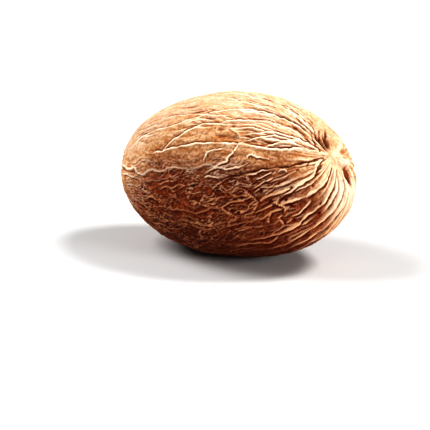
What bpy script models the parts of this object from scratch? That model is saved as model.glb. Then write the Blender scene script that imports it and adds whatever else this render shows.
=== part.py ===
"""A whole dried nutmeg, lying on its side.

The kernel is one solid: a blunt oval whose skin shrank into long wavy creases as it dried. The creases
gather at the scar where the stalk grew, which sits off the long axis between a pale knob and two pits,
and they run out again at the far tip. The kernel is set down on a small flat spot. Metres, +Z up. The
origin is under the middle of the kernel's box, on the surface that it rests on. +X is the scar's end and
-Y is the side that faces the front.

A place on the skin is two angles: how far away from the scar, and how far round it, from the top towards
the front. The relief is worked out in millimetres.
"""

import math

import bpy
import numpy as np
from mathutils import noise

MM = 0.001

# The plain oval, and how it leans
HALF_LENGTH = 14.25
HALF_WIDTH = 9.2
FULLER_END = 0.035
PITCH = math.radians(4.5)
CENTRE_HEIGHT = 9.0
SCAR_OFFSET = np.array((0.0, -0.139, 0.348))

# The mesh is finer round the scar than away from it, because the creases run away from it, and its rings
# are drawn closer together near the scar
AROUND = 160
ALONG = 37
RINGS_DRAWN_IN = 0.38

# Soft lumps of the whole kernel, and the pleats of its skin, which are deepest where they gather
LUMP_HEIGHT = 0.16
LUMP_PACE = 1.7
LUMP_PLACE = (3.1, 0.0, 0.0)
PLEATS = 38
PLEAT_SEED = 21
PLEAT_HEIGHT = 0.07
PLEAT_HEIGHT_GATHERED = 0.14
PLEAT_STEEPEST = 0.16
PLEAT_SWAY = 0.55
PLEAT_SWAY_TANGLED = 1.4
GATHERED_WITHIN = (25, 60)
SCAR_SMOOTH_WITHIN = (5, 12)
TIP_SMOOTH_WITHIN = 20

# Where the pleats double back: the front, from some degrees away from the scar to some degrees on
TANGLE_STARTS = (42, 62)
TANGLE_ENDS = (112, 150)
TANGLE_FRONT = 105
TANGLE_WIDTH = 42

# Low on the right the creases sweep forward as they leave the scar
SWEEP = math.radians(26)
SWEEP_STARTS = (95, 125)
SWEEP_ENDS = (215, 250)
SWEEP_RISES = (14, 60)

# Smoother places: degrees away from the scar, degrees round it, length, width, share of the pleats taken off
CALM = (
    (24, -50, 4.0, 2.4, 0.85),
    (40, 72, 4.5, 1.8, 0.75),
    (112, -10, 9.0, 9.0, 0.5),
)

# The bold crests: height, and a route of (degrees away from the scar, degrees round it)
CREST_WIDTH = 0.36
CRESTS = (
    (0.24, ((4, 57), (26, 61), (44, 61), (57, 59), (68, 57))),
    (0.13, ((60, 58), (78, 57), (92, 58), (104, 64), (118, 68))),
    (0.20, ((65, 57), (67, 61), (70, 69), (74, 73), (80, 80))),
    (0.15, ((17, 39), (25, 33), (46, 28), (60, 31), (74, 38), (90, 41), (112, 66))),
    (0.14, ((18, 33), (24, 22), (34, 17), (50, 15), (82, 25), (104, 43), (136, 60))),
    (0.18, ((4, 43), (14, 45), (24, 39), (37, 47), (54, 60))),
    (0.15, ((24, 37), (34, 42), (46, 45), (66, 56))),
    (0.18, ((6, 69), (13, 88), (19, 111), (30, 111), (43, 113), (54, 118))),
    (0.20, ((6, 133), (17, 140), (26, 133), (37, 124), (50, 117))),
    (0.20, ((7, 165), (17, 167), (28, 154), (40, 146), (57, 142), (74, 138))),
    (0.18, ((14, 188), (22, 185), (31, 174), (40, 162), (54, 158), (72, 152))),
    (0.18, ((18, 203), (27, 193), (37, 178), (50, 166), (70, 162))),
    (0.18, ((11, 204), (18, 217), (29, 213), (45, 203), (60, 190))),
    (0.14, ((59, 85), (69, 87), (76, 89), (80, 94))),
)

# The narrow deep folds: depth, and a route as above
SLIT_WIDTH = 0.26
SLITS = (
    (0.30, ((7, 76), (16, 79), (32, 83), (48, 81), (61, 83), (80, 88))),
    (0.22, ((11, 102), (21, 118))),
    (0.32, ((20, 34), (27, 18), (32, 13), (46, 15), (72, 19))),
    (0.24, ((10, 44), (19, 20), (26, 4))),
    (0.30, ((10, 14), (17, -3), (25, -18))),
    (0.30, ((9, -20), (18, -26), (28, -38))),
)
ROUTE_RISES = (-0.05, 0.08)
ROUTE_DIES = (0.75, 1.05)

# What stands round the scar: height, degrees away, degrees round, and its length and width
KNOB = (0.45, 9, -122, 1.7, 0.95)
SCAR_FORMS = (
    (0.26, 15, -70, 2.4, 0.40),
    (-0.35, 18, -87, 1.6, 0.34),
    (-0.75, 13.5, 6, 1.0, 0.28),
    (-0.75, 13.5, -20, 0.9, 0.42),
    (-0.60, 18, -147, 1.2, 0.50),
    (0.26, 42, -152, 5.5, 4.5),
)
RELIEF_FADES_ABOVE_TABLE = (-0.2, 0.7)

NOISE_ROWS = 64
SKIN_COLOUR = (0.42, 0.22, 0.10, 1.0)
SKIN_ROUGHNESS = 0.62


def clear_scene():
    for old in list(bpy.data.objects):
        bpy.data.objects.remove(old, do_unlink=True)


def smooth(low_edge, high_edge, value):
    """0 below the low edge, 1 above the high edge, with a soft step between them."""
    share = np.clip((value - low_edge) / (high_edge - low_edge), 0, 1)
    return share * share * (3 - 2 * share)


def hump(value, width):
    """1 where the value is 0, falling off softly on both sides."""
    return np.exp(-((value / width) ** 2))


def crease_noise(polar, turn, around, along, seed):
    """Gradient noise with some cells all round the scar's axis, and some to a radian away from it."""
    slants = np.random.default_rng(seed).uniform(0, 2 * math.pi, (NOISE_ROWS, around))
    slope_u = np.cos(slants)
    slope_v = np.sin(slants)
    column = turn / (2 * math.pi) * around
    row = polar * along
    left = np.floor(column).astype(int)
    near = np.floor(row).astype(int)
    u = column - left
    v = row - near
    fade_u = u * u * u * (u * (6 * u - 15) + 10)
    fade_v = v * v * v * (v * (6 * v - 15) + 10)
    total = 0
    for right, weight_u in ((0, 1 - fade_u), (1, fade_u)):
        for far, weight_v in ((0, 1 - fade_v), (1, fade_v)):
            cell = ((near + far) % NOISE_ROWS, (left + right) % around)
            slope = slope_u[cell] * (u - right) + slope_v[cell] * (v - far)
            total = total + weight_u * weight_v * slope
    return 1.5 * total


class Skin:
    """The places where the relief is worked out, and the forms that it is made of."""

    def __init__(self, direction):
        self.direction = direction
        self.polar = np.arccos(np.clip(direction[:, 0], -1, 1))
        self.turn = np.arctan2(-direction[:, 1], direction[:, 2])
        self.away = np.degrees(self.polar)
        self.round_mm = HALF_WIDTH * np.sin(self.polar)
        self.away_mm = np.hypot(HALF_LENGTH * np.sin(self.polar), HALF_WIDTH * np.cos(self.polar))

    def noise(self, around, along, seed):
        return crease_noise(self.polar, self.turn, around, along, seed)

    def turned_from(self, turn):
        """How far round each place lies from a turn, the short way."""
        return (self.turn - turn + math.pi) % (2 * math.pi) - math.pi

    def lumps(self):
        places = (self.direction * LUMP_PACE + LUMP_PLACE).tolist()
        return LUMP_HEIGHT * np.array([noise.noise(place) for place in places])

    def tangle(self):
        """How much the pleats double back, from 0 to 1."""
        front = hump(np.degrees(self.turn) - TANGLE_FRONT, TANGLE_WIDTH)
        mood = 0.5 + 0.9 * self.noise(5, 1.3, 5)
        share = np.clip(front + (1 - front) * smooth(0.35, 0.9, mood), 0, 1)
        return share * smooth(*TANGLE_STARTS, self.away) * (1 - smooth(*TANGLE_ENDS, self.away))

    def swept(self):
        """The turn of the crease through each place as it leaves the scar."""
        whole_turn = np.degrees(self.turn) % 360
        low_right = smooth(*SWEEP_STARTS, whole_turn) * (1 - smooth(*SWEEP_ENDS, whole_turn))
        return self.turn + SWEEP * low_right * smooth(*SWEEP_RISES, self.away)

    def calm(self):
        """How much of the pleats is left at each place, from 0 to 1."""
        left = 1
        for *place, share in CALM:
            left = left * (1 - share * self.spot(*place))
        return left

    def pleats(self):
        """The many pleats round the scar, as the waves of a value that climbs once round it."""
        sway = PLEAT_SWAY + PLEAT_SWAY_TANGLED * self.tangle()
        climb = PLEATS * self.swept() / (2 * math.pi)
        climb = climb + sway * self.noise(11, 2.6, PLEAT_SEED + 1)
        climb = climb + 0.45 * sway * self.noise(29, 6, PLEAT_SEED + 2)
        number = np.round(climb).astype(int) % PLEATS
        strength = np.random.default_rng(PLEAT_SEED).uniform(0.45, 1, 400)[number]
        strength = strength * np.clip(0.85 + 0.9 * self.noise(PLEATS // 3, 2.5, PLEAT_SEED + 4), 0.2, 1)
        gathered = 1 - smooth(*GATHERED_WITHIN, self.away)
        height = PLEAT_HEIGHT + (PLEAT_HEIGHT_GATHERED - PLEAT_HEIGHT) * gathered
        height = np.minimum(height, PLEAT_STEEPEST * 2 * math.pi * self.round_mm / PLEATS)
        ends = smooth(*SCAR_SMOOTH_WITHIN, self.away) * smooth(0, TIP_SMOOTH_WITHIN, 180 - self.away)
        return strength * ends * self.calm() * height * np.cos(2 * math.pi * climb)

    def beside(self, route):
        """How far a place lies from a route, in mm, and how much of the route is there."""
        corners = np.radians(np.array(route))
        nearest = np.full(len(self.polar), np.inf)
        share = np.zeros(len(self.polar))
        for number, (start, end) in enumerate(zip(corners, corners[1:])):
            run = (end[0] - start[0]) * self.away_mm
            swing = (end[1] - start[1]) * self.round_mm
            x = (self.polar - start[0]) * self.away_mm
            y = self.turned_from(start[1]) * self.round_mm
            along = np.clip((x * run + y * swing) / (run * run + swing * swing), 0, 1)
            gap = np.hypot(x - along * run, y - along * swing)
            closer = gap < nearest
            nearest = np.where(closer, gap, nearest)
            share = np.where(closer, (number + along) / (len(route) - 1), share)
        return nearest, smooth(*ROUTE_RISES, share) * (1 - smooth(*ROUTE_DIES, share))

    def spot(self, away, round_about, length, width):
        along = (self.polar - math.radians(away)) * self.away_mm
        sideways = self.turned_from(math.radians(round_about)) * self.round_mm
        return hump(along, length) * hump(sideways, width)

    def relief(self):
        height = self.lumps() + self.pleats()
        for tall, route in CRESTS:
            side, there = self.beside(route)
            height = height * (1 - 0.7 * there * hump(side, 1.5 * CREST_WIDTH))
            height = height + there * tall * hump(side, CREST_WIDTH)
        for deep, route in SLITS:
            side, there = self.beside(route)
            height = height - there * deep * hump(side, SLIT_WIDTH)
        tall, *place = KNOB
        knob = self.spot(*place)
        height = height * (1 - knob) + tall * knob
        for tall, *place in SCAR_FORMS:
            height = height + tall * self.spot(*place)
        return height


def draw_rings_in(direction):
    """Moves the directions of an even sphere towards the scar, so that the mesh is finer there."""
    polar = np.arccos(np.clip(direction[:, 0], -1, 1))
    turn = np.arctan2(direction[:, 1], direction[:, 2])
    polar = polar - RINGS_DRAWN_IN * np.sin(polar)
    return np.column_stack((np.cos(polar), np.sin(polar) * np.sin(turn), np.sin(polar) * np.cos(turn)))


def kernel_places(direction):
    """The places on the kernel's skin, in mm, of the directions of an unwarped sphere."""
    leaned = direction + SCAR_OFFSET * ((1 + direction[:, :1]) / 2) ** 2
    leaned = leaned / np.linalg.norm(leaned, axis=1, keepdims=True)
    half = np.full(direction.shape, HALF_LENGTH)
    half[:, 1:] = HALF_WIDTH * (1 + FULLER_END * leaned[:, :1])
    outward = leaned / half
    outward = outward / np.linalg.norm(outward, axis=1, keepdims=True)
    cosine = math.cos(PITCH)
    sine = math.sin(PITCH)
    leaning = np.array(((cosine, 0, sine), (0, 1, 0), (-sine, 0, cosine)))
    plain = leaned * half @ leaning
    plain[:, 2] += CENTRE_HEIGHT
    height = Skin(direction).relief() * smooth(*RELIEF_FADES_ABOVE_TABLE, plain[:, 2])
    return plain + (outward * height[:, None]) @ leaning


def set_down(places):
    """Flattens the underside on the table, and puts the middle of the box over the origin."""
    for axis in (0, 1):
        places[:, axis] -= (places[:, axis].min() + places[:, axis].max()) / 2
    places[:, 2] = np.maximum(0, places[:, 2])


def build_kernel():
    bpy.ops.mesh.primitive_uv_sphere_add(
        segments=AROUND, ring_count=ALONG, radius=1.0, rotation=(0, math.pi / 2, 0)
    )
    kernel = bpy.context.object
    kernel.name = "nutmeg"
    kernel.data.name = "nutmeg"
    bpy.ops.object.transform_apply(location=True, rotation=True, scale=True)
    direction = np.array([vertex.co.normalized() for vertex in kernel.data.vertices])
    places = kernel_places(draw_rings_in(direction))
    set_down(places)
    for vertex, place in zip(kernel.data.vertices, places * MM):
        vertex.co = place
    return kernel


def finish(kernel):
    skin = bpy.data.materials.new("nutmeg_skin")
    skin.use_nodes = True
    shader = skin.node_tree.nodes["Principled BSDF"]
    shader.inputs["Base Color"].default_value = SKIN_COLOUR
    shader.inputs["Roughness"].default_value = SKIN_ROUGHNESS
    shader.inputs["Metallic"].default_value = 0.0
    kernel.data.materials.append(skin)
    kernel.data.shade_smooth()


clear_scene()
nutmeg = build_kernel()
finish(nutmeg)
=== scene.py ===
"""The looks of a whole dried nutmeg, lying on its side on a pale table."""

import math

import bpy
import numpy as np
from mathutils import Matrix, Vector, noise


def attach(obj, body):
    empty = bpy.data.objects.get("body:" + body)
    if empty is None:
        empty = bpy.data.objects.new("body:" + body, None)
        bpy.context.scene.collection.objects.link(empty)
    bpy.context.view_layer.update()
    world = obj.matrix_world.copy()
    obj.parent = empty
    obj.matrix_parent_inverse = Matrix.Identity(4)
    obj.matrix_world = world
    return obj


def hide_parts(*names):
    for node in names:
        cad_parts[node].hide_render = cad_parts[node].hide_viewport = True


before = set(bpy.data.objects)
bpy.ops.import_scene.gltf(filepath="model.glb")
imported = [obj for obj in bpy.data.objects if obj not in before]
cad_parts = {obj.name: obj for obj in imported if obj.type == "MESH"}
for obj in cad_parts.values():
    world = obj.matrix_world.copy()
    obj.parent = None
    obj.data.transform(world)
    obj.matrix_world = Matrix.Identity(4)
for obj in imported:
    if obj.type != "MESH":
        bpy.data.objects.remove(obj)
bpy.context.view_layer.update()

# The camera stands a good arm's length off, a little above the table, and turned so that the scar's end
# of the nutmeg comes round towards it. A long lens keeps the outline as flat as in the photograph.
MM = 0.001
PHOTO_SIDE_PX = 430
NUT_IN_PHOTO_PX = (236.9, 174.6)
PIXELS_PER_MM = 8.93
CAMERA_TURN = math.radians(32)
CAMERA_RISE = math.radians(17)
CAMERA_DISTANCE_MM = 320
SENSOR_WIDTH_MM = 36
NEAREST_SEEN = 10 * MM
FARTHEST_SEEN = 20
CENTRE_HEIGHT = 9.0


def toward(turn, rise):
    """The way from the nutmeg to a place at a turn round it and a rise above the table, in radians."""
    return Vector(
        (math.sin(turn) * math.cos(rise), -math.cos(turn) * math.cos(rise), math.sin(rise))
    )


nut_centre = Vector((0, 0, CENTRE_HEIGHT * MM))
to_camera = toward(CAMERA_TURN, CAMERA_RISE)
to_right = Vector((math.cos(CAMERA_TURN), math.sin(CAMERA_TURN), 0))
to_top = to_camera.cross(to_right)
right_px = NUT_IN_PHOTO_PX[0] - PHOTO_SIDE_PX / 2
down_px = NUT_IN_PHOTO_PX[1] - PHOTO_SIDE_PX / 2
aim = nut_centre + (to_top * down_px - to_right * right_px) * MM / PIXELS_PER_MM
bpy.ops.object.select_all(action="DESELECT")
bpy.ops.object.camera_add(location=aim + to_camera * CAMERA_DISTANCE_MM * MM)
camera = bpy.context.object
camera.rotation_euler = (-to_camera).to_track_quat("-Z", "Y").to_euler()
camera.data.sensor_width = SENSOR_WIDTH_MM
camera.data.lens = PIXELS_PER_MM * CAMERA_DISTANCE_MM * SENSOR_WIDTH_MM / PHOTO_SIDE_PX
camera.data.clip_start = NEAREST_SEEN
camera.data.clip_end = FARTHEST_SEEN
bpy.context.scene.camera = camera

# The table is one wide white sheet, dull and flat. It is only the stage that the nutmeg lies on, and no
# part of it, so it stays out of the visual model.
FLOOR_SIZE = 3
FLOOR_WHITE = (0.65, 0.65, 0.65, 1)
FLOOR_ROUGHNESS = 0.9
FLOOR_GLOSS = 0.1

bpy.ops.object.select_all(action="DESELECT")
bpy.ops.mesh.primitive_plane_add(size=FLOOR_SIZE)
floor = bpy.context.object
floor.name = "floor"
floor_material = bpy.data.materials.new("floor")
floor_material.use_nodes = True
floor_shader = floor_material.node_tree.nodes["Principled BSDF"]
floor_shader.inputs["Base Color"].default_value = FLOOR_WHITE
floor_shader.inputs["Roughness"].default_value = FLOOR_ROUGHNESS
floor_shader.inputs["Specular IOR Level"].default_value = FLOOR_GLOSS
floor.data.materials.append(floor_material)

# Soft square lamps stand half a metre from the nutmeg and face it: one over its far end, one low on its
# right and a wide one on its left. White walls all round fill the shade.
LAMP_DISTANCE = 0.5
# Name, turn round the nutmeg and rise above the table in degrees, side in metres, and watts
LAMPS = (
    ("top_light", 128, 54, 0.14, 2.8),
    ("right_light", 84, 18, 0.16, 1.75),
    ("left_light", -70, 45, 0.30, 3.2),
)
WALL_WHITE = (1, 1, 1, 1)
WALL_LIGHT = 0.15
PICTURE_GAMMA = 0.72

for lamp_name, lamp_turn, lamp_rise, lamp_side, watts in LAMPS:
    to_lamp = toward(math.radians(lamp_turn), math.radians(lamp_rise))
    bpy.ops.object.light_add(type="AREA", location=nut_centre + to_lamp * LAMP_DISTANCE)
    lamp = bpy.context.object
    lamp.name = lamp_name
    lamp.rotation_euler = (-to_lamp).to_track_quat("-Z", "Y").to_euler()
    lamp.data.size = lamp_side
    lamp.data.energy = watts

walls = bpy.data.worlds.new("studio")
bpy.context.scene.world = walls
walls.use_nodes = True
walls.node_tree.nodes["Background"].inputs["Color"].default_value = WALL_WHITE
walls.node_tree.nodes["Background"].inputs["Strength"].default_value = WALL_LIGHT
bpy.context.scene.view_settings.view_transform = "Standard"
bpy.context.scene.view_settings.gamma = PICTURE_GAMMA

# The kernel is one dried seed, a blunt oval with its scar off the long axis. Its skin shrank into long
# wavy creases, which gather at the scar. Sizes are in mm. A place on the skin is given in degrees, as how
# far it lies away from the scar and how far round: 0 is the top, 90 the front and 180 the underside.
HALF_LENGTH = 14.25
HALF_WIDTH = 9.2
FULLER_END = 0.035
PITCH = math.radians(4.5)
SCAR_OFFSET = np.array((0.0, -0.139, 0.348))

STEPS_ROUND = 60
STEPS_ALONG = 26
SUBDIVISIONS = 3
# Added to the way round, which would be nothing at the two poles
POLE_GAP = 0.3

# How high the relief stands, and how deep it goes
LUMP_HEIGHT = 0.16
BOLD_HEIGHT = 0.15
BOLD_DEPTH = 0.10
BOLD_DEPTH_AT_SCAR = 0.20
FINE_HEIGHT = 0.08
FINE_DEPTH = 0.07
NET_HEIGHT = 0.18
SMALL_NET_HEIGHT = 0.09
GRAIN_HEIGHT = 0.03
HOLLOW_DEPTH = 0.14
KNOB_HEIGHT = 0.45
CRACK_DEPTH = 0.12
RIM_HEIGHT = 0.26
NOTCH_DEPTH = 0.35
PIT_DEPTH = 0.75
BULGE_HEIGHT = 0.26
SPECK_DEPTH = 0.12
# How pale its crests, knob and rim are, and how dark its hollows, pits and cracks are, as shares of the
# most there is. The crests' paleness is partly painted highlight, and the darkness partly painted shade.
NET_PALE = 0.8
SMALL_NET_PALE = 0.58
KNOB_PALE = 0.55
RIM_PALE = 0.5
NET_DARK = 0.7
SMALL_NET_DARK = 0.8
HOLLOW_DARK = 0.75
FOLD_SHADE_DARK = 0.25
NOTCH_DARK = 0.5
CRACK_DARK = 0.65
PIT_DARK = 1.3

# Crests that stand out: height, width and route, as places away from the scar and round it
CRESTS = (
    (0.24, 0.17, ((5, 50), (18, 54), (26, 54), (34, 59), (44, 61), (57, 59), (68, 57))),
    (0.15, 0.14, ((60, 58), (78, 57), (92, 58), (104, 62), (120, 65))),
    (0.18, 0.13, ((65, 55), (67, 61), (68, 65), (71, 69), (71, 73), (74, 73), (78, 77), (84, 82))),
    (0.17, 0.13, ((20, 36), (34, 26), (43, 27), (61, 31), (76, 36), (81, 40), (82, 49))),
    (0.14, 0.12, ((32, 15), (46, 17), (60, 17), (72, 21), (86, 28), (96, 36), (107, 43))),
    (0.15, 0.13, ((77, 41), (87, 40), (95, 45), (104, 55), (110, 64))),
    (0.12, 0.12, ((97, 36), (106, 42), (117, 44), (129, 47), (140, 60))),
    (0.10, 0.11, ((76, 30), (86, 33), (98, 31), (112, 33), (126, 33))),
    (0.16, 0.15, ((4, 43), (14, 45), (21, 36), (31, 42), (38, 49), (52, 60))),
    (0.16, 0.13, ((23, 38), (36, 44), (45, 43), (58, 51), (70, 60))),
    (0.14, 0.12, ((26, 37), (37, 39), (51, 40), (57, 45), (68, 50))),
    (0.10, 0.11, ((74, 44), (70, 46), (66, 52))),
    (0.20, 0.16, ((6, 69), (13, 88), (19, 111), (30, 111), (43, 113), (54, 118))),
    (0.22, 0.20, ((6, 133), (17, 140), (26, 133), (37, 124), (50, 117))),
    (0.22, 0.20, ((8, 167), (16, 159), (24, 157), (33, 150), (41, 145), (48, 147), (57, 143), (76, 135))),
    (0.20, 0.17, ((14, 188), (22, 185), (31, 174), (40, 162), (54, 158), (72, 152))),
    (0.20, 0.17, ((18, 203), (27, 193), (37, 178), (50, 166), (70, 162))),
    (0.20, 0.18, ((11, 204), (18, 217), (29, 213), (45, 203), (60, 190))),
    (0.13, 0.13, ((46, 73), (49, 71), (55, 69), (58, 66), (60, 69), (60, 74))),
    (0.14, 0.12, ((59, 75), (64, 77), (69, 79), (75, 77), (78, 77))),
    (0.10, 0.09, ((63, 70), (66, 74))),
    (0.13, 0.13, ((75, 62), (79, 63), (83, 65), (84, 72))),
    (0.13, 0.12, ((75, 84), (78, 83), (83, 83))),
    (0.17, 0.13, ((61, 86), (68, 85), (73, 87), (77, 90), (79, 94))),
    (0.15, 0.12, ((45, 89), (42, 85), (44, 82), (54, 84), (60, 85), (59, 87), (58, 91))),
    (0.13, 0.10, ((45, 85), (51, 90), (55, 89))),
    (0.13, 0.10, ((45, 92), (52, 95), (57, 97))),
    (0.12, 0.10, ((35, 93), (45, 100), (53, 99), (57, 101))),
    (0.10, 0.09, ((45, 101), (51, 106))),
    (0.13, 0.11, ((36, 89), (37, 85), (40, 85), (42, 88))),
    (0.10, 0.09, ((38, 109), (47, 114))),
    (0.10, 0.13, ((71, 91), (66, 94), (62, 96), (59, 101), (56, 110), (59, 115), (63, 118))),
    (0.12, 0.10, ((61, 103), (63, 100), (66, 101), (69, 99), (70, 96))),
    (0.09, 0.12, ((63, 105), (70, 104), (75, 106), (74, 110), (68, 116))),
    (0.10, 0.11, ((59, 131), (62, 129), (67, 128), (72, 128))),
    (0.12, 0.14, ((46, 129), (44, 125), (47, 118), (49, 114))),
    (0.11, 0.13, ((52, 123), (55, 127), (56, 130))),
    (0.10, 0.14, ((48, 130), (51, 130), (50, 135), (51, 139))),
    (0.12, 0.11, ((20, 121), (26, 119), (36, 115))),
    (0.14, 0.13, ((32, 137), (38, 139), (46, 136))),
)
# Narrow folds that stand out, dark inside as darker skin and painted shade: depth, width and route
SLITS = (
    (0.30, 0.12, ((7, 76), (16, 79), (32, 83), (48, 81), (61, 83), (80, 88))),
    (0.15, 0.09, ((18, 80), (22, 89))),
    (0.25, 0.12, ((11, 102), (21, 118))),
    (0.30, 0.11, ((18, 36), (26, 23), (32, 20), (39, 20))),
    (0.16, 0.09, ((38, 22), (46, 23), (57, 27), (67, 30), (76, 34))),
    (0.36, 0.14, ((28, 12), (40, 11), (46, 13), (60, 14), (74, 19))),
    (0.24, 0.12, ((10, 44), (19, 18), (27, 2))),
    (0.30, 0.14, ((10, 14), (17, -3), (25, -18))),
    (0.30, 0.14, ((9, -20), (18, -26), (28, -38))),
    (0.16, 0.09, ((18, 8), (28, -8), (35, -8))),
    (0.14, 0.09, ((28, 5), (34, 4), (42, 1))),
    (0.14, 0.09, ((31, -14), (43, -17), (60, -18))),
    (0.14, 0.09, ((42, -6), (53, -8), (61, -5), (72, -4))),
    (0.13, 0.09, ((57, 3), (65, 7), (76, 6))),
    (0.12, 0.09, ((64, -13), (82, -11))),
    (0.14, 0.10, ((88, 26), (95, 29), (100, 31))),
)
# Hollows between the crests, darkened as darker skin and painted shade: away from the scar, turn round it,
# length and width
HOLLOWS = (
    (62, 49, 1.0, 0.30),
    (59, 54, 1.4, 0.32),
    (49, 53, 1.2, 0.30),
    (40, 56, 2.3, 0.40),
    (70, 52, 1.1, 0.30),
    (77, 51, 1.1, 0.30),
    (79, 45, 0.7, 0.26),
    (73, 40, 0.35, 0.35),
    (62, 43, 1.3, 0.28),
    (48, 47, 1.6, 0.25),
    (104, 22, 1.5, 0.22),
    (88, 36, 1.2, 0.22),
)
# Smooth places between the creases: place, length and width as above, and the share taken off
CALM = (
    (24, -50, 4.0, 2.4, 0.85),
    (40, 72, 4.5, 1.8, 0.75),
    (112, -10, 12.0, 12.0, 0.4),
)
# Places where the skin is made paler, with the share added. The first, low by the scar, is painted light
# where the table lights the underside.
WASHES = (
    (26, 195, 8.0, 3.5, 0.50),
    (27, 45, 6.0, 3.0, 0.30),
)
# A faint painted shade over the long fold on the front, and a stretch of the top where fine creases show
FOLD_SHADE = (40, 69, 6.0, 1.0)
COMBED = (45, 15, 9.0, 5.0)
# What stands round the scar: a pale knob, a rim, a notch and three pits, each pit with its share of the
# depth, and a low swelling under it
KNOB = (9, -122, 1.7, 0.95)
RIM = (15, -70, 2.4, 0.40)
NOTCH = (18, -87, 1.6, 0.34)
PITS = (
    (13.5, 6, 1.0, 0.28, 1.0),
    (13.5, -20, 0.9, 0.42, 1.0),
    (18, -147, 1.2, 0.50, 0.8),
)
BULGE = (42, -152, 5.5, 4.5)
# Pinholes on the scar's half of the front, sunk and painted dark inside as shade: how many, the corners of
# their patch, and length and width
SPECKS = 30
SPECK_PATCH = ((20, 76), (74, 165))
SPECK_SIZE = (0.17, 0.14)

bpy.ops.object.select_all(action="DESELECT")
bpy.ops.mesh.primitive_uv_sphere_add(
    segments=STEPS_ROUND, ring_count=STEPS_ALONG, radius=1, rotation=(0, math.pi / 2, 0)
)
kernel = bpy.context.object
kernel.name = "nutmeg_kernel"
bpy.ops.object.transform_apply(location=True, rotation=True, scale=True)
bpy.ops.object.modifier_add(type="SUBSURF")
kernel.modifiers["Subdivision"].subdivision_type = "SIMPLE"
kernel.modifiers["Subdivision"].levels = SUBDIVISIONS
kernel.modifiers["Subdivision"].render_levels = SUBDIVISIONS
bpy.ops.object.modifier_apply(modifier="Subdivision")

# Where each point of the ball lies: its angle from the scar, its turn round the scar, and how many mm
# one radian takes there, round the scar and away from it
count = len(kernel.data.vertices)
direction = np.empty(count * 3, np.float32)
kernel.data.vertices.foreach_get("co", direction)
direction = direction.reshape(-1, 3).astype(float)
direction /= np.linalg.norm(direction, axis=1, keepdims=True)
polar = np.arccos(np.clip(direction[:, 0], -1, 1))
turn = np.arctan2(-direction[:, 1], direction[:, 2])
round_mm = HALF_WIDTH * np.sin(polar) + POLE_GAP
away_mm = np.hypot(HALF_LENGTH * np.sin(polar), HALF_WIDTH * np.cos(polar))
degrees_away = np.degrees(polar)
degrees_round = np.degrees(turn)


def smooth(low_edge, high_edge, value):
    """0 below the low edge, 1 above the high edge, with a soft step between them."""
    share = np.clip((value - low_edge) / (high_edge - low_edge), 0, 1)
    return share * share * (3 - 2 * share)


def crest(side, width):
    """1 on a line, falling softly away on both sides of it."""
    return np.exp(-((side / width) ** 2))


def crease_noise(polar, turn, around, along, seed):
    """Gradient noise from about -1 to 1, with its cells counted round the axis and to a radian away."""
    rows = 64
    slants = np.random.default_rng(seed).uniform(0, 2 * math.pi, (rows, around))
    slope_u, slope_v = np.cos(slants), np.sin(slants)
    column = turn / (2 * math.pi) * around
    row = polar * along
    left, near = np.floor(column).astype(int), np.floor(row).astype(int)
    u, v = column - left, row - near
    fade_u, fade_v = (s * s * s * (s * (6 * s - 15) + 10) for s in (u, v))
    total = 0
    for right, weight_u in ((0, 1 - fade_u), (1, fade_u)):
        for far, weight_v in ((0, 1 - fade_v), (1, fade_v)):
            cell = ((near + far) % rows, (left + right) % around)
            total += weight_u * weight_v * (slope_u[cell] * (u - right) + slope_v[cell] * (v - far))
    return 1.5 * total


def skin_noise(around, along, seed):
    """The same noise at each point of the skin."""
    return crease_noise(polar, turn, around, along, seed)


def turned_from(start):
    """How far round each point lies from a turn, the short way."""
    return (turn - start + math.pi) % (2 * math.pi) - math.pi


def spot(away, round_about, length, width):
    """A soft round spot at a place on the kernel, 1 in its middle, with a length and width in mm."""
    sideways = turned_from(math.radians(round_about)) * round_mm
    return np.exp(-(((polar - math.radians(away)) * away_mm / length) ** 2) - (sideways / width) ** 2)


# Where the skin is of one kind or another, from 0 to 1: the far tip is plain, the front is a tangle of
# small cells, the low back has straight folds, and the folds gather at the scar
FRONT_MIDDLE = 105
FRONT_SPREAD = 42
tip = smooth(0, 0.35, math.pi - polar)
front = crest(degrees_round - FRONT_MIDDLE, FRONT_SPREAD)
behind = smooth(150, 175, degrees_round % 360)
back = smooth(60, 110, np.abs(degrees_round)) * (1 - behind)
patchy = smooth(0.35, 0.9, 0.5 + 0.9 * skin_noise(around=5, along=1.3, seed=5))
tangle = smooth(42, 62, degrees_away) * (1 - smooth(112, 150, degrees_away))
tangle = tangle * np.clip(front + (1 - front) * back * patchy, 0, 1)
gather = 1 - smooth(25, 60, degrees_away)
low_gather = smooth(95, 120, np.abs(degrees_round)) * (1 - smooth(35, 62, degrees_away))
combed = spot(*COMBED)
calm = np.ones(count)
for *patch, share in CALM:
    calm = calm * (1 - share * spot(*patch))

# The folds lean over their lower side on the front, and over their upper side on the top. Their pale ridge
# and dark foot follow the lean: painted highlight on the side the lamps light, painted shade at the foot.
lean = 1 - 2 * smooth(-165, -140, degrees_round) * (1 - smooth(61, 67, degrees_round))


def ridge(side, gentle, steep):
    """A ridge that rises gently on one side and falls steeply on the other."""
    return crest(side, np.where(side * lean < 0, gentle, steep))


def foot(side, from_ridge, width):
    """The narrow hollow at the foot of a ridge's steep side."""
    return np.abs(lean) * crest(side - lean * from_ridge, width)


def slopes(value, here):
    """How fast a value of place climbs to each mm, round the scar and away from it."""
    step = 0.002
    slope_round = (value(polar, turn + step) - here) / step / round_mm
    slope_away = (value(polar + step, turn) - here) / step / away_mm
    return slope_round, slope_away


def swept(polar, turn):
    """The turn of the crease through a point as it leaves the scar. Low on the right they sweep forward."""
    sweep = math.radians(26)
    round_about = np.degrees(turn) % 360
    low_right = smooth(95, 125, round_about) * (1 - smooth(215, 250, round_about))
    return turn + sweep * low_right * smooth(14, 60, np.degrees(polar))


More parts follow.
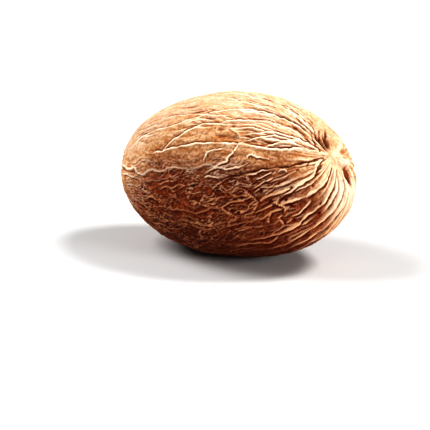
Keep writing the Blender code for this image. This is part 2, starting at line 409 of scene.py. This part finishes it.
def fold_side(folds, sway, seed):
    """How far each point lies from the nearest of the folds round the scar's axis, in mm, with its side.

    The folds are the whole steps of a value that climbs once round the axis. Where the sway is stronger
    than the climb, they double back and close into islands. The width of a fold comes second, and how
    strong it is comes third.
    """
    girth_mm = 58
    faintest = 0.45
    # Share of the sway, and the cells of its noise round the axis and to a radian away from it
    swings = ((1.0, 11, 2.6), (0.45, 29, 6), (0.12, 83, 17))

    def climb(polar, turn):
        value = folds * swept(polar, turn) / (2 * math.pi)
        for more, (share, around, along) in enumerate(swings, start=1):
            value = value + share * sway * crease_noise(polar, turn, around, along, seed + more)
        return value

    here = climb(polar, turn)
    slope_round, slope_away = slopes(climb, here)
    # Kept above a quarter of its mean, so that no fold grows wide where the value hardly climbs
    slope = np.hypot(slope_round, slope_away) + 0.25 * folds / girth_mm
    number = np.round(here)
    strength = np.random.default_rng(seed).uniform(faintest, 1, 400)[number.astype(int) % folds]
    strength = strength * np.clip(0.85 + 0.9 * skin_noise(folds // 3, 2.5, seed + 4), 0.2, 1)
    strength = strength * (1 - 0.6 * behind * (slope_away / slope) ** 2)
    return (here - number) / slope, 1 / slope, strength


def net_side(cells_round, cells_away, seed):
    """How far each point lies from the nearest wall of a net of long cells, in mm, and its strength."""

    def reach(polar, turn):
        bent = turn + 0.10 * crease_noise(polar, turn, 31, 7, seed + 1)
        drum = cells_round / (2 * math.pi)
        away = polar * cells_away + 0.5 * crease_noise(polar, turn, 37, 9, seed + 2)
        spots = np.column_stack((drum * np.cos(bent), drum * np.sin(bent), away))
        near = np.array([noise.voronoi(p)[0][:2] for p in spots.tolist()])
        return near[:, 1] - near[:, 0]

    here = reach(polar, turn)
    slope_round, slope_away = slopes(reach, here)
    strength = np.clip(0.85 + 0.9 * skin_noise(19, 5, seed + 3), 0.3, 1)
    return here / (np.hypot(slope_round, slope_away) + 0.05), strength


def rounded(route):
    """The corners of a route in radians, each one cut twice, so that it bends softly."""
    corners = np.radians(np.array(route, float))
    for cut in range(2):
        early = 0.75 * corners[:-1] + 0.25 * corners[1:]
        late = 0.25 * corners[:-1] + 0.75 * corners[1:]
        between = np.stack((early, late), axis=1).reshape(-1, 2)
        corners = np.concatenate((corners[:1], between, corners[-1:]))
    return corners


def beside(route):
    """How far each point lies from a crease's route, in mm, and how much of the crease is there.

    On a route that runs away from the scar, the distance is positive on the side of the larger turns.
    A crease fades at its ends and here and there on the way, and it wavers a little.
    """
    far_off = 99.0
    waver, tremble = 0.15, 0.05
    corners = rounded(route)
    nearest = np.full(count, far_off)
    side = nearest
    share = np.zeros(count)
    for number, (start, end) in enumerate(zip(corners, corners[1:])):
        run, swing = (end[0] - start[0]) * away_mm, (end[1] - start[1]) * round_mm
        x, y = (polar - start[0]) * away_mm, turned_from(start[1]) * round_mm
        along = np.clip((x * run + y * swing) / (run * run + swing * swing), 0, 1)
        gap = np.hypot(x - along * run, y - along * swing)
        closer = gap < nearest
        nearest = np.where(closer, gap, nearest)
        side = np.where(closer, np.copysign(gap, y * run - x * swing), side)
        share = np.where(closer, (number + along) / (len(corners) - 1), share)
    there = smooth(-0.05, 0.08, share) * (1 - smooth(0.75, 1.05, share))
    there = there * np.clip(0.85 + 0.6 * skin_noise(17, 6, seed=73), 0.3, 1)
    side = side + waver * skin_noise(31, 13, seed=71) + tremble * skin_noise(89, 37, seed=72)
    return side, there


# The seeded creases: bold folds, fine folds between them, a net of long cells and a net of smaller ones
bold, bold_gap, bold_strength = fold_side(folds=38, sway=0.55 + 0.9 * tangle, seed=21)
fine, fine_gap, fine_strength = fold_side(folds=96, sway=0.9 + 2.0 * tangle, seed=31)
net, net_strength = net_side(cells_round=58, cells_away=4.4, seed=41)
small_net, small_net_strength = net_side(cells_round=118, cells_away=8.5, seed=51)
untangled = 1 - 0.45 * tangle
net_share = 1 - 0.6 * behind
bold_strength = bold_strength * smooth(5, 12, degrees_away) * tip * calm * untangled
fine_strength = fine_strength * smooth(16, 34, degrees_away) * tip * calm * untangled
net_strength = net_strength * tangle * calm * net_share
small_net_strength = small_net_strength * np.clip(tangle + 0.65 * front, 0, 1) * calm * tip * net_share
bold_foot = np.minimum(0.25, 0.30 * bold_gap)
fine_foot = np.minimum(0.17, 0.32 * fine_gap)
steep = 0.5 * bold_foot

# Their height in mm
lumps = np.array([noise.noise(p) for p in (direction * 1.7 + (3.1, 0, 0)).tolist()])
bold_depth = BOLD_DEPTH + BOLD_DEPTH_AT_SCAR * gather
fine_relief = FINE_HEIGHT * crest(fine, 0.11) - FINE_DEPTH * foot(fine, fine_foot, 0.09)
height = lumps * LUMP_HEIGHT
height = height + bold_strength * BOLD_HEIGHT * ridge(bold, gentle=0.34, steep=steep)
height = height - bold_strength * bold_depth * foot(bold, bold_foot, 0.36 * bold_foot)
height = height + fine_strength * fine_relief
height = height + net_strength * NET_HEIGHT * crest(net, 0.11)
height = height + small_net_strength * SMALL_NET_HEIGHT * crest(small_net, 0.08)
height = height + GRAIN_HEIGHT * skin_noise(around=150, along=40, seed=81)

# How pale the skin is on them and how dark it is at their feet, from 0 to 1: paler worn skin with painted
# highlight, and darker skin with painted shade.
fine_pale = (0.8 - 0.2 * gather + 0.3 * combed) * fine_strength * crest(fine, 0.09)
pale = np.maximum(bold_strength * ridge(bold, 0.20 + 0.16 * gather, 0.8 * steep), fine_pale)
pale = np.maximum(pale, NET_PALE * net_strength * crest(net, 0.08))
pale = np.maximum(pale, SMALL_NET_PALE * small_net_strength * crest(small_net, 0.06))
fine_dark = (0.8 - 0.3 * gather + 0.4 * combed) * fine_strength * foot(fine, fine_foot, 0.08)
dark = np.maximum(bold_strength * foot(bold, bold_foot, 0.40 * bold_foot), fine_dark)
dark = np.maximum(dark, NET_DARK * net_strength * crest(net - 0.22, 0.11))
dark = np.maximum(dark, SMALL_NET_DARK * small_net_strength * crest(small_net - 0.17, 0.08))

# Each crest on its route smooths the relief that it crosses, and has a dark foot of painted shade and a
# pale ridge of paler skin and painted highlight. Narrow ones on the front are painted dark on both sides as
# shade.
# Those low at the scar are pale far down their gentle slope, as painted light where the lamps light it.
FULL_TALL = 0.13
NARROW = 0.15
for tall, wide, route in CRESTS:
    side, there = beside(route)
    shown = min(1, tall / FULL_TALL) * there
    height = height * (1 - 0.7 * there * crest(side, 1.6 * wide))
    height = height + there * tall * ridge(side, gentle=1.4 * wide, steep=0.9 * wide)
    height = height - 0.6 * there * tall * foot(side, from_ridge=1.6 * wide, width=0.6 * wide)
    dark = dark * (1 - there * crest(side, 1.2 * wide))
    dark = np.maximum(dark, shown * foot(side, from_ridge=1.6 * wide, width=0.6 * wide))
    if wide < NARROW:
        dark = np.maximum(dark, 0.7 * there * front * crest(np.abs(side) - 1.9 * wide, 0.7 * wide))
    pale = pale * (1 - there * foot(side, from_ridge=1.6 * wide, width=0.7 * wide))
    pale = np.maximum(pale, shown * ridge(side, gentle=wide, steep=0.7 * wide))
    pale = np.maximum(pale, 0.42 * there * low_gather * ridge(side, gentle=3.4 * wide, steep=0.7 * wide))
# Slits and hollows are sunk and darkened: darker skin with painted shade in them
for deep, wide, route in SLITS:
    side, there = beside(route)
    height = height - there * deep * crest(side, wide)
    dark = np.maximum(dark, there * crest(side, wide))
    pale = pale * (1 - there * crest(side, 1.3 * wide))
for hollow in HOLLOWS:
    sunk = spot(*hollow)
    height = height - HOLLOW_DEPTH * sunk * (1 - pale)
    dark = np.maximum(dark, HOLLOW_DARK * sunk * (1 - pale))
# A faint painted shade over the long fold on the front
dark = np.maximum(dark, FOLD_SHADE_DARK * spot(*FOLD_SHADE) * (1 - pale))

# The scar. Its knob is cracked and lumpy, and covers the folds that run under it.
knob = spot(*KNOB)
rim = spot(*RIM)
notch = spot(*NOTCH)
pits = sum(share * spot(*pit_place) for *pit_place, share in PITS)
knobbly = 1 + 0.9 * skin_noise(around=15, along=11, seed=61)
crack = knob * crest(skin_noise(around=17, along=13, seed=62), 0.12)
height = height * (1 - knob) + KNOB_HEIGHT * knob * knobbly
height = height - CRACK_DEPTH * crack + RIM_HEIGHT * rim
height = height - NOTCH_DEPTH * notch - PIT_DEPTH * pits + BULGE_HEIGHT * spot(*BULGE)
# Pits, notch and cracks are darkened, as darker skin and painted shade in them; the knob and rim are paler
scar_dark = PIT_DARK * pits + NOTCH_DARK * notch + CRACK_DARK * crack
scar_pale = KNOB_PALE * knob * knobbly + RIM_PALE * rim
dark = np.maximum(dark * (1 - knob), np.clip(scar_dark, 0, 1))
pale = np.maximum(pale * (1 - knob), np.clip(scar_pale, 0, 1))
# Each pinhole is sunk and painted dark inside as shade
for away, round_about in np.random.default_rng(91).uniform(*SPECK_PATCH, (SPECKS, 2)):
    speck = spot(away, round_about, *SPECK_SIZE)
    height = height - SPECK_DEPTH * speck
    dark = np.maximum(dark, speck)
    pale = pale * (1 - speck)
pale = pale * (1 - np.clip(PIT_DARK * pits, 0, 1))
# Paler places; the one low by the scar is painted light
for *patch, share in WASHES:
    wash = share * spot(*patch) * (1 - dark)
    pale = pale + (1 - pale) * wash

# The ball becomes the oval: its scar's pole leans off the axis, that end is fuller, the whole is pitched,
# and the relief stands out from it. Where it meets the table the relief dies away and the skin lies flat.
leaned = direction + SCAR_OFFSET * ((1 + direction[:, :1]) / 2) ** 2
leaned /= np.linalg.norm(leaned, axis=1, keepdims=True)
half = np.full((count, 3), HALF_LENGTH)
half[:, 1:] = HALF_WIDTH * (1 + FULLER_END * leaned[:, :1])
outward = leaned / half
outward /= np.linalg.norm(outward, axis=1, keepdims=True)
cosine, sine = math.cos(PITCH), math.sin(PITCH)
leaning = np.array(((cosine, 0, sine), (0, 1, 0), (-sine, 0, cosine)))
plain = leaned * half @ leaning
above_table = plain[:, 2] + CENTRE_HEIGHT
height = height * smooth(-0.2, 0.7, above_table)
place = plain + (outward * height[:, None]) @ leaning
for axis in (0, 1):
    place[:, axis] -= (place[:, axis].min() + place[:, axis].max()) / 2
place[:, 2] = np.maximum(0, place[:, 2] + CENTRE_HEIGHT)
kernel.data.vertices.foreach_set("co", (place * MM).astype(np.float32).ravel())
kernel.data.update()
kernel.data.shade_smooth()
for name, values in (("pale", pale), ("dark", dark)):
    attribute = kernel.data.attributes.new(name, "FLOAT", "POINT")
    attribute.data.foreach_set("value", values.astype(np.float32))

# The skin's colours. The first four are each a darker and a paler streak of one colour, from the top of
# the nutmeg down to its underside: painted light on the lit top, painted shade on the underside.
CREAM = ((0.66, 0.42, 0.24, 1), (0.77, 0.56, 0.40, 1))
TAN = ((0.58, 0.27, 0.09, 1), (0.80, 0.54, 0.31, 1))
RUSSET = ((0.22, 0.036, 0.006, 1), (0.37, 0.082, 0.020, 1))
UMBER = ((0.11, 0.014, 0.003, 1), (0.22, 0.044, 0.011, 1))
# Pores and folds, low and high on the nutmeg, darker low down as painted shade. The folds are darker skin
# with painted shade in them.
PORE = ((0.08, 0.011, 0.002, 1), (0.33, 0.10, 0.022, 1))
FOLD = ((0.06, 0.004, 0.001, 1), (0.22, 0.048, 0.006, 1))
# Crests: on the underside, then low and high on the nutmeg, each far from the scar and near it, and
# last on the scar itself. They are paler skin with painted highlight, darker low down as painted shade.
CREST_UNDER = (0.44, 0.16, 0.07, 1)
CREST_LOW = ((0.76, 0.37, 0.18, 1), (0.92, 0.58, 0.33, 1))
CREST_HIGH = ((0.97, 0.84, 0.66, 1), (0.90, 0.64, 0.42, 1))
CREST_AT_SCAR = (0.86, 0.70, 0.54, 1)
# How much of the colour under it a fold's or a crest's colour hides
COVER = 0.95
ROUGHNESS = 0.6
GLOSS = 0.05
BUMP_STRENGTH = 0.6
BUMP_HEIGHT = 0.10 * MM
# Spots of the patterns to a metre, and how many finer patterns lie on each
STREAKS = (1700, 5)
STREAK_SQUEEZE = (0.35, 1, 1)
PORES = (3200, 3)
DRIFTS = (160, 2)


class Wire:
    """A node's output, on which arithmetic adds Math nodes."""

    def __init__(self, tree, socket):
        self.tree = tree
        self.socket = socket

    def math(self, operation, *values):
        return add_node(self.tree, "ShaderNodeMath", {"operation": operation}, dict(enumerate(values)))

    def __add__(self, other):
        return self.math("ADD", self, other)

    def __radd__(self, other):
        return self.math("ADD", other, self)

    def __sub__(self, other):
        return self.math("SUBTRACT", self, other)

    def __rsub__(self, other):
        return self.math("SUBTRACT", other, self)

    def __mul__(self, other):
        return self.math("MULTIPLY", self, other)

    def __rmul__(self, other):
        return self.math("MULTIPLY", other, self)


def add_node(tree, kind, settings, values, output=0):
    """Adds a node, sets it up and feeds its sockets with values or wires, and gives its output's wire."""
    node = tree.nodes.new(kind)
    for setting, value in settings.items():
        setattr(node, setting, value)
    for socket, value in values.items():
        if isinstance(value, Wire):
            tree.links.new(value.socket, node.inputs[socket])
        else:
            node.inputs[socket].default_value = value
    return Wire(tree, node.outputs[output])


skin = bpy.data.materials.new("nutmeg_skin")
skin.use_nodes = True
tree = skin.node_tree
shader = tree.nodes["Principled BSDF"]
place_wire = add_node(tree, "ShaderNodeTexCoord", {}, {}, "Object")


def attribute_wire(name):
    """One of the values that the mesh holds at each of its points."""
    return add_node(tree, "ShaderNodeAttribute", {"attribute_name": name}, {}, "Fac")


def coordinate(axis):
    """How far along X, Y or Z each place on the nutmeg lies, in metres."""
    return add_node(tree, "ShaderNodeSeparateXYZ", {}, {"Vector": place_wire}, axis)


def pattern(vector, scale, detail):
    """A cloudy pattern, from 0 to 1."""
    return add_node(tree, "ShaderNodeTexNoise", {}, {"Vector": vector, "Scale": scale, "Detail": detail})


def band(value, low_edge, high_edge):
    """0 where the value is below one edge, 1 above the other."""
    return add_node(
        tree,
        "ShaderNodeMapRange",
        {"interpolation_type": "SMOOTHSTEP"},
        {"Value": value, "From Min": low_edge, "From Max": high_edge},
    )


def blend(share, first, second):
    """The first colour where the share is 0, the second where it is 1."""
    return add_node(tree, "ShaderNodeMix", {"data_type": "RGBA"}, {0: share, 6: first, 7: second}, 2)


pale_wire = band(attribute_wire("pale"), 0.22, 0.74)
dark_wire = band(attribute_wire("dark"), 0.08, 0.68)
along_skin = add_node(
    tree, "ShaderNodeVectorMath", {"operation": "MULTIPLY"}, {0: place_wire, 1: STREAK_SQUEEZE}
)
mottle = band(pattern(along_skin, *STREAKS), 0.35, 0.65)
pores = pattern(place_wire, *PORES)
pore = band(pores, 0.52, 0.44)

# Which part of the nutmeg a place is on. The colours run from cream on the top down to umber, a little
# unevenly, as painted light on the lit top and painted shade below. They stay pale further down at the
# scar, at the far tip and towards the back, as painted light where the lamps reach round.
across_wire = coordinate("X")
toward_back = band(coordinate("Y"), 0, 6.0 * MM)
toward_scar = band(across_wire, 7.5 * MM, 12.0 * MM)
near_scar = band(across_wire, 9.0 * MM, 14.5 * MM)
at_scar = band(across_wire, 12.8 * MM, 14.2 * MM)
near_tip = band(across_wire, -3.0 * MM, -12.0 * MM)
drift = (pattern(place_wire, *DRIFTS) - 0.5) * (3.0 * MM)
rise = coordinate("Z") + near_scar * (4.0 * MM) + near_tip * (6.0 * MM) + toward_back * (0.8 * MM) + drift
lower = band(rise, 8.0 * MM, 3.0 * MM)
upper = band(rise, 10.0 * MM, 16.0 * MM)
top = band(rise, 14.5 * MM, 18.0 * MM)
crest_upper = band(rise + near_scar * (1.0 * MM), 8.5 * MM, 14.5 * MM)

cream = blend(mottle, *CREAM)
tan = blend(mottle, *TAN)
russet = blend(mottle, *RUSSET)
umber = blend(mottle, *UMBER)
# Painted light and shade: cream on the lit top, down to umber on the shaded underside
flesh = blend(top, blend(upper, blend(lower, russet, umber), tan), cream)
# Pores show less towards the top and back. Pores and folds are darker low down as painted shade, and the
# folds carry painted shade in them over darker skin.
pore_share = 0.75 - 0.25 * upper - 0.25 * top - 0.25 * toward_back
flesh = blend(pore * pore_share, flesh, blend(upper, *PORE))
flesh = blend(dark_wire * COVER, flesh, blend(upper, *FOLD))
# Crests: paler skin with painted highlight, darker towards the underside as painted shade
low_crest = blend(toward_scar, *CREST_LOW)
low_crest = blend(lower * (1 - 0.8 * toward_scar), low_crest, CREST_UNDER)
high_crest = blend(near_scar, *CREST_HIGH)
high_crest = blend(at_scar, high_crest, CREST_AT_SCAR)
flesh = blend(pale_wire * COVER, flesh, blend(crest_upper, low_crest, high_crest))
tree.links.new(flesh.socket, shader.inputs["Base Color"])
shader.inputs["Roughness"].default_value = ROUGHNESS
shader.inputs["Specular IOR Level"].default_value = GLOSS
bump = add_node(
    tree,
    "ShaderNodeBump",
    {},
    {"Strength": BUMP_STRENGTH, "Distance": BUMP_HEIGHT, "Height": pores},
)
tree.links.new(bump.socket, shader.inputs["Normal"])
kernel.data.materials.append(skin)

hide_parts("nutmeg")
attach(kernel, "root")
